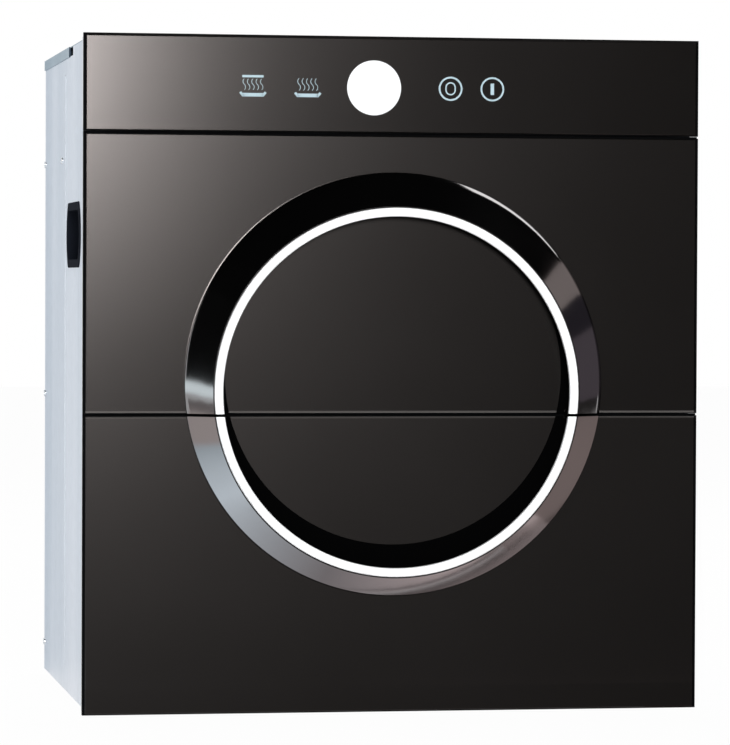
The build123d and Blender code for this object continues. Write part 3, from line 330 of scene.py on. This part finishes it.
# Seals: frames of extruded rubber, joined at the corners and glued to the back of the drawers' pans.
# They close the chambers' mouths against the front frame.
seal_rubber = make_finish(
    "seal_rubber",
    pale=(0.042, 0.042, 0.043),
    deep=(0.028, 0.028, 0.029),
    stretch=(14.0, 400.0, 400.0),
    smooth=0.62,
    rough=0.8,
    relief=0.00006,
    constants={"Specular IOR Level": 0.3},
)
dress(seal_rubber, "upper_seal", "lower_seal")

# Glass fronts: 5 mm panes, painted brown-black on the back and ground to a bevel along the front,
# each glued into a black moulded frame that shows as a thin lip. The control pane has a matt top border.
# The pale colour on the upper pane's downward bevel and lower edge, and on the lower pane's upward ones,
# is a painted highlight.
PANE_HAZE = 0.015
EDGE_START = 0.2
EDGE_FULL = 0.6
LOWER_STRIP_START = 0.0022
LOWER_STRIP_FULL = 0.0016
UPPER_STRIP_START = 0.0020
UPPER_STRIP_FULL = 0.0014
STRIP_HIGHLIGHT_SHARE = 0.4
# Colour of the painted highlight on the bevels and edge strips.
PAINTED_EDGE_HIGHLIGHT = (0.16, 0.15, 0.145)
MATT_BLACK = (0.001, 0.001, 0.001)
CONTROL_BORDER = 0.0021
NO_BORDER = -0.001


def greater(tree, first, second):
    """The greater of two values."""
    return add_node(tree, "Math", {0: first, 1: second}, operation="MAXIMUM").outputs[0]


def make_dark_glass(name, smooth, below, above, low_z, high_z, border):
    """Back-painted glass with a painted highlight, as strong as given, along its lower and upper edges,
    and a matt top border.
    """
    finish = make_finish(
        name,
        pale=(0.0040, 0.0037, 0.0035),
        deep=(0.0034, 0.0031, 0.0029),
        stretch=(3.0, 3.0, 3.0),
        smooth=smooth,
        rough=smooth + PANE_HAZE,
        relief=0.000001,
        constants={"Specular IOR Level": 0.33, "Specular Tint": opaque((1.0, 0.91, 0.88))},
    )
    tree = finish.node_tree
    shader = tree.nodes["Principled BSDF"]
    place = add_node(tree, "TexCoord", {})
    facing = add_node(tree, "SeparateXYZ", {0: place.outputs["Normal"]}).outputs["Z"]
    height = add_node(tree, "SeparateXYZ", {0: place.outputs["Object"]}).outputs["Z"]
    # Painted highlight: bevels that face down or up, and strips along the lower and upper edges, are
    # paled.
    bevel_highlights = greater(
        tree,
        ramp(tree, facing, -EDGE_START, -EDGE_FULL, below),
        ramp(tree, facing, EDGE_START, EDGE_FULL, above),
    )
    edge_strip_highlights = greater(
        tree,
        ramp(tree, height, low_z + LOWER_STRIP_START, low_z + LOWER_STRIP_FULL, below * STRIP_HIGHLIGHT_SHARE),
        ramp(tree, height, high_z - UPPER_STRIP_START, high_z - UPPER_STRIP_FULL, above * STRIP_HIGHLIGHT_SHARE),
    )
    painted = shader.inputs["Base Color"].links[0].from_socket
    highlighted = blend(tree, greater(tree, bevel_highlights, edge_strip_highlights), painted, opaque(PAINTED_EDGE_HIGHLIGHT))
    bordered = add_node(tree, "Math", {0: height, 1: high_z - border}, operation="GREATER_THAN").outputs[0]
    tree.links.new(blend(tree, bordered, highlighted, opaque(MATT_BLACK)), shader.inputs["Base Color"])
    gloss = shader.inputs["Roughness"].links[0].from_socket
    tree.links.new(greater(tree, gloss, bordered), shader.inputs["Roughness"])
    return finish


for pane, smooth, below, above, border in (
    ("control", 0.165, 0.0, 0.0, CONTROL_BORDER),
    ("upper", 0.195, 0.8, 0.0, NO_BORDER),
    ("lower", 0.215, 0.0, 0.35, NO_BORDER),
):
    pane_low, pane_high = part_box(f"{pane}_glass")
    dark_glass = make_dark_glass(f"{pane}_pane", smooth, below, above, pane_low.z, pane_high.z, border)
    dress(dark_glass, f"{pane}_glass")
black_moulding = make_finish(
    "black_moulding",
    pale=(0.0024, 0.0026, 0.0030),
    deep=(0.0016, 0.0017, 0.0020),
    stretch=(900.0, 900.0, 900.0),
    smooth=0.55,
    rough=0.7,
    relief=0.00004,
    constants={"Specular IOR Level": 0.015},
)
dress(black_moulding, "control_frame", "upper_glass_frame", "lower_glass_frame")

# Ring pull, band: die-cast halves, polished and plated with dark chrome, screwed on through the glass.
# The upper half's normals bend at its outer edge, which then looks rounder than the solid's fillet.
BAND_EDGE_REACH = 0.0045
BAND_EDGE_BEND = 0.17
BAND_EDGE_CURVE = 2.0


def make_band_chrome(name):
    """Dark chrome over a polished casting, with a slight waviness."""
    return make_finish(
        name,
        pale=(0.275, 0.27, 0.275),
        deep=(0.25, 0.245, 0.25),
        stretch=(9.0, 9.0, 9.0),
        smooth=0.07,
        rough=0.11,
        relief=0.000002,
        constants={"Metallic": 1.0},
    )


def round_off(finish, centre, radius, reach):
    """Bend a finish's normal outwards over the last reach of a round piece, as a polished edge does."""
    tree = finish.node_tree
    shader = tree.nodes["Principled BSDF"]
    place = add_node(tree, "TexCoord", {})
    offset = add_node(tree, "VectorMath", {0: place.outputs["Object"], 1: centre}, operation="SUBTRACT")
    flat = add_node(tree, "VectorMath", {0: offset.outputs[0], 1: (1.0, 0.0, 1.0)}, operation="MULTIPLY")
    distance = add_node(tree, "VectorMath", {0: flat.outputs[0]}, operation="LENGTH")
    share = ramp(tree, distance.outputs["Value"], radius - reach, radius)
    fall = add_node(tree, "Math", {0: share, 1: BAND_EDGE_CURVE}, operation="POWER")
    grained = shader.inputs["Normal"].links[0].from_socket
    edge = add_node(
        tree,
        "Bump",
        {"Height": fall.outputs[0], "Distance": reach * BAND_EDGE_BEND, "Normal": grained},
        invert=True,
    )
    tree.links.new(edge.outputs["Normal"], shader.inputs["Normal"])


band_low, band_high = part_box("upper_handle_band")
ring_radius = (band_high.x - band_low.x) / 2
upper_chrome = make_band_chrome("upper_band_chrome")
round_off(upper_chrome, (0.0, 0.0, band_high.z - ring_radius), ring_radius, BAND_EDGE_REACH)
dress(upper_chrome, "upper_handle_band")
dress(make_band_chrome("lower_band_chrome"), "lower_handle_band")

# Ring pull, rim: two half rings of bright satin metal, rounded along the front.
# Each lies in a seat in the band's crest, on its inner ledge.
# Their near-white colour is partly the satin metal and partly a painted reflection.
rim_chrome = make_finish(
    "rim_chrome",
    pale=(0.96, 0.97, 0.98),
    deep=(0.90, 0.91, 0.92),
    stretch=(40.0, 40.0, 40.0),
    smooth=0.3,
    rough=0.4,
    relief=0.00001,
    constants={"Metallic": 0.15},
)
dress(rim_chrome, "upper_handle_rim", "lower_handle_rim")

# Ring pull, bed: a thin black moulding in two halves, glued to the glass under the band.
# It is wider below than above, so that it shows as a crescent in the ring's lower half.
# Its near-black colour, with almost no gloss, is partly the black moulding and partly painted shade for
# the gap under the rim.
bed_moulding = make_finish(
    "bed_moulding",
    pale=(0.0007, 0.0007, 0.0008),
    deep=(0.0004, 0.0004, 0.0005),
    stretch=(500.0, 500.0, 500.0),
    smooth=0.6,
    rough=0.75,
    relief=0.00002,
    constants={"Specular IOR Level": 0.01},
)
dress(bed_moulding, "upper_handle_bed", "lower_handle_bed")

# Display: a round lit module of white plastic, set into the control frame from behind.
# Its lens fills a window in the control glass.
display_white = make_finish(
    "display_white",
    pale=(0.06, 0.06, 0.06),
    deep=(0.05, 0.05, 0.05),
    stretch=(60.0, 60.0, 60.0),
    smooth=0.3,
    rough=0.36,
    relief=0.000002,
    constants={"Emission Color": opaque((0.95, 0.975, 1.0)), "Emission Strength": 0.94},
)
dress(display_white, "display_module")

# Touch symbols: pale ink printed on the control glass, two drying trays with steam to the left of
# the display, and an O and an I in circles to its right.
INK_THICKNESS = 0.00012
SYMBOL_LINE = 0.0017
ARC_STEP = 7.5
LEAST_ARC_STEPS = 6
STEAM_LINE = 0.0005
STEAM_BEND = 50
STEAM_COUNT = 5
STEAM_PITCH = 0.0042
STEAM_DROP = 0.0033
TRAY_WIDTH = 0.0255
TRAY_DROP = 0.0080
TRAY_LINE = 0.0034
TRAY_FLOOR = 0.0195
TRAY_END = 0.0040
TRAY_END_LENGTH = 0.0048
TRAY_END_LINE = 0.00238
TRAY_END_RISE = 0.00068
TRAY_END_SLOPE = 50
LID_RISE = 0.0097
LID_LENGTH = 0.0205
LID_LINE = 0.00221
KEY_CIRCLE_RADIUS = 0.0108
LETTER_RADIUS = 0.0045
LETTER_RISE = 0.0012
LETTER_LINE = 0.0013
STROKE_WIDTH = 0.0034
STROKE_HEIGHT = 0.0110
BOTH_PLACE = -0.138
ONE_PLACE = -0.085
OFF_PLACE = 0.0543
ON_PLACE = 0.0953


def to_front(x, z):
    """A point of a flat symbol, drawn in the plane that faces the front."""
    return Vector((x, 0.0, z))


def draw_bar(mesh, x, z, length, width, turn=0.0):
    """A flat bar about a point, turned from level by an angle in degrees."""
    place = (
        Matrix.Translation(to_front(x, z))
        @ Matrix.Rotation(-math.radians(turn), 4, "Y")
        @ Matrix.Rotation(math.radians(90), 4, "X")
        @ Matrix.Diagonal((length, width, 1.0, 1.0))
    )
    bmesh.ops.create_grid(mesh, x_segments=1, y_segments=1, size=0.5, matrix=place)


def draw_arc(mesh, x, z, radius, width, start, sweep):
    """A flat band along an arc about a point, with its angles in degrees from level."""
    turn = math.radians(start)
    ray = to_front(math.cos(turn), math.sin(turn))
    ends = [mesh.verts.new(to_front(x, z) + ray * (radius + side * width / 2)) for side in (-1, 1)]
    edge = mesh.edges.new(ends)
    bmesh.ops.spin(
        mesh,
        geom=[*ends, edge],
        cent=to_front(x, z),
        axis=(0.0, -1.0, 0.0),
        angle=math.radians(sweep),
        steps=max(LEAST_ARC_STEPS, round(sweep / ARC_STEP)),
        use_merge=sweep == 360,
    )


def draw_steam(mesh, x, z, height):
    """One wavy stroke of steam: two arcs that bend opposite ways."""
    reach = math.radians(STEAM_BEND)
    radius = height / 4 / math.sin(reach)
    offset = radius * math.cos(reach)
    draw_arc(mesh, x - offset, z + height / 4, radius, STEAM_LINE, -STEAM_BEND, 2 * STEAM_BEND)
    draw_arc(mesh, x + offset, z + height * 3 / 4, radius, STEAM_LINE, 180 - STEAM_BEND, 2 * STEAM_BEND)


def draw_tray(mesh, x, z):
    """A shallow tray from the side: a floor with two slanted ends."""
    draw_bar(mesh, x, z, TRAY_FLOOR, TRAY_LINE)
    for side in (-1, 1):
        end_x = x + side * (TRAY_WIDTH - TRAY_END) / 2
        draw_bar(mesh, end_x, z + TRAY_END_RISE, TRAY_END_LENGTH, TRAY_END_LINE, side * TRAY_END_SLOPE)


def print_symbol(name, drawing):
    """Raise a flat drawing into a layer of ink on the control glass."""
    glass_low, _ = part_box("control_glass")
    layer = bmesh.ops.extrude_face_region(drawing, geom=drawing.faces[:])
    raised = [part for part in layer["geom"] if isinstance(part, bmesh.types.BMVert)]
    bmesh.ops.translate(drawing, verts=raised, vec=(0.0, -INK_THICKNESS, 0.0))
    bmesh.ops.translate(drawing, verts=drawing.verts, vec=(0.0, glass_low.y, 0.0))
    bmesh.ops.recalc_face_normals(drawing, faces=drawing.faces)
    mesh = bpy.data.meshes.new(name)
    drawing.to_mesh(mesh)
    drawing.free()
    symbol = bpy.data.objects.new(name, mesh)
    bpy.context.scene.collection.objects.link(symbol)
    mesh.materials.append(symbol_ink)
    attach(symbol, "cabinet")


symbol_ink = make_finish(
    "symbol_ink",
    pale=(0.40, 0.52, 0.58),
    deep=(0.34, 0.46, 0.51),
    stretch=(200.0, 200.0, 200.0),
    smooth=0.4,
    rough=0.55,
    relief=0.00001,
    constants={"Specular IOR Level": 0.2},
)
display_low, display_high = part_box("display_module")
symbol_z = (display_low.z + display_high.z) / 2
for name, place, steam_height, lidded in (
    ("both_drawers_symbol", BOTH_PLACE, 0.0105, True),
    ("one_drawer_symbol", ONE_PLACE, 0.0115, False),
):
    drawing = bmesh.new()
    draw_tray(drawing, place, symbol_z - TRAY_DROP)
    if lidded:
        draw_bar(drawing, place, symbol_z + LID_RISE, LID_LENGTH, LID_LINE)
    for step in range(STEAM_COUNT):
        steam_x = place + (step - (STEAM_COUNT - 1) / 2) * STEAM_PITCH
        draw_steam(drawing, steam_x, symbol_z - STEAM_DROP, steam_height)
    print_symbol(name, drawing)

off_key = bmesh.new()
draw_arc(off_key, OFF_PLACE, symbol_z, KEY_CIRCLE_RADIUS, SYMBOL_LINE, 0, 360)
for side in (-1, 1):
    half_z = symbol_z + side * LETTER_RISE
    draw_arc(off_key, OFF_PLACE, half_z, LETTER_RADIUS, LETTER_LINE, 90 - side * 90, 180)
    draw_bar(off_key, OFF_PLACE + side * LETTER_RADIUS, symbol_z, LETTER_LINE, 2 * LETTER_RISE)
print_symbol("off_key_symbol", off_key)

on_key = bmesh.new()
draw_arc(on_key, ON_PLACE, symbol_z, KEY_CIRCLE_RADIUS, SYMBOL_LINE, 0, 360)
draw_bar(on_key, ON_PLACE, symbol_z, STROKE_WIDTH, STROKE_HEIGHT)
print_symbol("on_key_symbol", on_key)

# Telescopic rails: roll-formed steel strips with a zinc plating, three members to a side.
# The outer one is fixed to the liner's wall, and the inner one to the drawer's side plate.
rail_zinc = make_finish(
    "rail_zinc",
    pale=(0.68, 0.69, 0.70),
    deep=(0.56, 0.57, 0.58),
    stretch=(300.0, 5.0, 300.0),
    smooth=0.26,
    rough=0.4,
    relief=0.00002,
    constants={"Metallic": 1.0},
)
for drawer in ("upper", "lower"):
    dress(rail_zinc, f"{drawer}_fixed_rails", f"{drawer}_middle_rails", f"{drawer}_inner_rails")

# Drawer bodies: folded stainless side plates, joined at the back by a folded bar.
# A pressed drip tray lies on the shelves along the foot of the plates.
for drawer in ("upper", "lower"):
    dress(stainless_sheet, f"{drawer}_drawer_sides", f"{drawer}_rear_bar", f"{drawer}_drip_tray")

# Racks, cup rails and plate hoops: bright drawn wire, bent and spot welded. The racks lie on the
# drip trays, and the rails and hoops stand on the racks' cross wires.
rack_wire = make_finish(
    "rack_wire",
    pale=(0.86, 0.86, 0.87),
    deep=(0.76, 0.76, 0.77),
    stretch=(30.0, 30.0, 30.0),
    smooth=0.12,
    rough=0.2,
    relief=0.000004,
    constants={"Metallic": 0.75},
)
dress(rack_wire, "upper_wire_rack", "lower_wire_rack", "upper_cup_rails", "lower_plate_hoops")

# Studio: a pale floor under a white surround. The camera and every reflection see both as nearly
# white, and the surround lights the object less than it shows.
BACKGROUND_SHARE = 0.97
WORLD_FILL = 0.42
FLOOR_SIZE = 24.0
FLOOR_SHADE = (0.9, 0.9, 0.9)
FLOOR_ROUGHNESS = 0.9


def seen_directly(tree):
    """One for rays that show the background: the camera's, and those of gloss and glass."""
    path = add_node(tree, "LightPath", {}).outputs
    first = greater(tree, path["Is Camera Ray"], path["Is Glossy Ray"])
    return greater(tree, first, path["Is Transmission Ray"])


world = bpy.data.worlds.new("white_surround")
bpy.context.scene.world = world
world.use_nodes = True
level = add_node(
    world.node_tree,
    "MapRange",
    {"Value": seen_directly(world.node_tree), "To Min": WORLD_FILL, "To Max": 1.0},
)
surround = world.node_tree.nodes["Background"]
surround.inputs["Color"].default_value = opaque((1.0, 1.0, 1.0))
world.node_tree.links.new(level.outputs[0], surround.inputs["Strength"])

floor_pale = bpy.data.materials.new("floor_pale")
floor_pale.use_nodes = True
floor_tree = floor_pale.node_tree
floor_shader = floor_tree.nodes["Principled BSDF"]
floor_shader.inputs["Base Color"].default_value = opaque(FLOOR_SHADE)
floor_shader.inputs["Roughness"].default_value = FLOOR_ROUGHNESS
floor_shader.inputs["Specular IOR Level"].default_value = 0.0
floor_white = add_node(floor_tree, "Emission", {"Strength": 1.0})
floor_share = add_node(
    floor_tree, "Math", {0: seen_directly(floor_tree), 1: BACKGROUND_SHARE}, operation="MULTIPLY"
)
floor_mix = add_node(
    floor_tree,
    "MixShader",
    {0: floor_share.outputs[0], 1: floor_shader.outputs[0], 2: floor_white.outputs[0]},
)
floor_tree.links.new(floor_mix.outputs[0], floor_tree.nodes["Material Output"].inputs["Surface"])


def make_card(name, material, place, width, height):
    """A flat stage piece of a width and height, put in place by a matrix."""
    card_mesh = bmesh.new()
    sized = place @ Matrix.Diagonal((width, height, 1.0, 1.0))
    bmesh.ops.create_grid(card_mesh, x_segments=1, y_segments=1, size=0.5, matrix=sized)
    mesh = bpy.data.meshes.new(name)
    card_mesh.to_mesh(mesh)
    card_mesh.free()
    mesh.materials.append(material)
    card = bpy.data.objects.new(name, mesh)
    bpy.context.scene.collection.objects.link(card)
    return card


make_card("floor", floor_pale, Matrix.Identity(4), FLOOR_SIZE, FLOOR_SIZE)

# Cards around the object, which only reflections show. Dark ones give the glass its depth and the upper
# half of the ring its black. Brown, pale and bright ones shade the rest of the ring and the left side.
LEVEL = (0, 0, 0)
WINDOW_TURN = (0, 0, 16)
UPRIGHT = (90, 0, 0)
SIDEWAYS = (0, 90, 0)
CARD_Z = 0.001
NEAR_CARD_Z = 0.0012
SWEEP_Z = 0.0015
SWEEP_LEFT = -0.9
SWEEP_RIGHT = 0.4
SWEEP_STRENGTH = 2.1
SWEEP_START = (0.43, 0.38, 0.37)
SWEEP_STOPS = ((0.07, (0.47, 0.54, 0.58)), (0.37, (0.75, 0.84, 0.90)), (0.62, (0.27, 0.25, 0.255)))
SWEEP_END = (0.60, 0.50, 0.49)
SWEEP_END_SHARE = 0.8
RIGHT_X = 4.5
RIGHT_Y = -1.5
RIGHT_LENGTH = 11.0


def make_flag(name, shade, place, turn, width, height):
    """A card of one shade, turned about X, Y and Z in degrees, that only reflections show."""
    shaded = bpy.data.materials.new(name)
    shaded.use_nodes = True
    shader = shaded.node_tree.nodes["Principled BSDF"]
    shader.inputs["Base Color"].default_value = opaque((0.0, 0.0, 0.0))
    shader.inputs["Specular IOR Level"].default_value = 0.0
    shader.inputs["Emission Color"].default_value = opaque(shade)
    shader.inputs["Emission Strength"].default_value = 1.0
    turned = Euler([math.radians(angle) for angle in turn]).to_matrix().to_4x4()
    flag = make_card(name, shaded, Matrix.Translation(place) @ turned, width, height)
    flag.visible_camera = False
    flag.visible_diffuse = False
    flag.visible_shadow = False
    flag.visible_transmission = False
    return shaded


def make_sweep(name, place, width, height):
    """A card on the floor that runs from brown through blue-white to brown, from left to right."""
    tree = make_flag(name, (1.0, 1.0, 1.0), place, LEVEL, width, height).node_tree
    spot = add_node(tree, "TexCoord", {})
    across = add_node(tree, "SeparateXYZ", {0: spot.outputs["Object"]})
    sweep = add_node(tree, "ValToRGB", {0: ramp(tree, across.outputs["X"], SWEEP_LEFT, SWEEP_RIGHT)})
    stops = sweep.color_ramp.elements
    stops[0].color = opaque(SWEEP_START)
    stops[1].color = opaque(SWEEP_END)
    stops[1].position = SWEEP_END_SHARE
    for share, shade in SWEEP_STOPS:
        stops.new(share).color = opaque(shade)
    shader = tree.nodes["Principled BSDF"]
    tree.links.new(sweep.outputs["Color"], shader.inputs["Emission Color"])
    shader.inputs["Emission Strength"].default_value = SWEEP_STRENGTH


make_sweep("floor_sweep", (-0.25, -0.255, SWEEP_Z), 1.3, 0.09)
make_sweep("left_floor_sweep", (-0.615, -0.44, SWEEP_Z), 0.57, 0.28)
for name, shade, place, turn, width, height in (
    ("split_floor_flag", (0.9, 0.8, 0.77), (-1.45, -0.775, SWEEP_Z), LEVEL, 1.1, 0.75),
    ("front_flag", (0.06, 0.055, 0.053), (0.0, -7.0, 2.5), UPRIGHT, 13.0, 5.0),
    ("floor_flag", (0.04, 0.037, 0.036), (2.7, -3.725, CARD_Z), LEVEL, 6.2, 6.55),
    ("low_front_flag", (0.035, 0.032, 0.031), (0.0, -0.2135, 0.013), UPRIGHT, 0.66, 0.024),
    ("near_floor_flag", (0.01, 0.01, 0.01), (0.21, -0.375, NEAR_CARD_Z), LEVEL, 1.08, 0.15),
    ("pale_floor_flag", (0.86, 1.0, 1.06), (-1.1, -3.65, CARD_Z), LEVEL, 1.4, 6.7),
    ("left_floor_flag", (0.33, 0.295, 0.29), (-2.45, -3.9, CARD_Z), LEVEL, 1.3, 6.2),
    ("right_floor_flag", (0.49, 0.39, 0.37), (1.375, -0.15, CARD_Z), LEVEL, 2.25, 0.6),
    ("ceiling_flag", (0.004, 0.004, 0.004), (0.4, -3.0, 4.0), LEVEL, 13.8, 8.0),
    ("window_card", (2.7, 2.65, 2.6), (3.85, -0.11, 3.9), WINDOW_TURN, 3.9, 1.9),
    ("horizon_card", (2.0, 2.25, 2.3), (-4.5, -2.4, 0.165), SIDEWAYS, 0.3, 5.0),
    ("left_flag", (0.006, 0.006, 0.006), (-6.0, -4.0, 2.33), SIDEWAYS, 4.0, 6.4),
    ("rear_side_flag", (0.60, 0.66, 0.71), (-0.365, 0.26, 0.33), UPRIGHT, 0.13, 0.75),
    ("right_flag", (0.5, 0.43, 0.41), (RIGHT_X, RIGHT_Y, 2.425), SIDEWAYS, 0.85, RIGHT_LENGTH),
    ("right_dark_flag", (0.045, 0.04, 0.05), (RIGHT_X, RIGHT_Y, 1.65), SIDEWAYS, 0.7, RIGHT_LENGTH),
    ("right_low_flag", (0.17, 0.145, 0.165), (RIGHT_X, RIGHT_Y, 0.65), SIDEWAYS, 1.3, RIGHT_LENGTH),
):
    make_flag(name, shade, place, turn, width, height)

# Lamps: a softbox above and behind the camera, a wide one high over the back, and one to the left.
# All three are soft rectangles aimed at the object.


def make_lamp(name, watts, width, height, place, target):
    """A soft rectangular lamp at a place, aimed at a target."""
    lamp = bpy.data.lights.new(name, "AREA")
    lamp.shape = "RECTANGLE"
    lamp.size, lamp.size_y = width, height
    lamp.energy = watts
    holder = bpy.data.objects.new(name, lamp)
    holder.location = place
    holder.rotation_euler = (Vector(target) - Vector(place)).to_track_quat("-Z", "Y").to_euler()
    bpy.context.scene.collection.objects.link(holder)


make_lamp("softbox", 190.0, 1.0, 1.0, (-0.37, -5.0, 1.12), (0.0, -0.2, 0.35))
make_lamp("back_lamp", 55.0, 2.5, 1.5, (0.3, 2.6, 3.2), (0.0, 0.0, 0.3))
make_lamp("left_lamp", 16.0, 1.5, 1.5, (-3.0, 0.9, 1.2), (-0.3, 0.0, 0.35))

# Camera: a long lens about four metres away, a little to the left of the front.
# It is level with the upper half of the ring.
CAMERA_PLACE = (-0.682, -4.060, 0.415)
CAMERA_TURN = (88.74, -0.24, -9.63)
LENS = 196.3
camera = bpy.data.cameras.new("camera")
camera.lens = LENS
camera_holder = bpy.data.objects.new("camera", camera)
camera_holder.location = CAMERA_PLACE
camera_holder.rotation_euler = [math.radians(angle) for angle in CAMERA_TURN]
bpy.context.scene.collection.objects.link(camera_holder)
bpy.context.scene.camera = camera_holder
bpy.context.scene.view_settings.view_transform = "Standard"
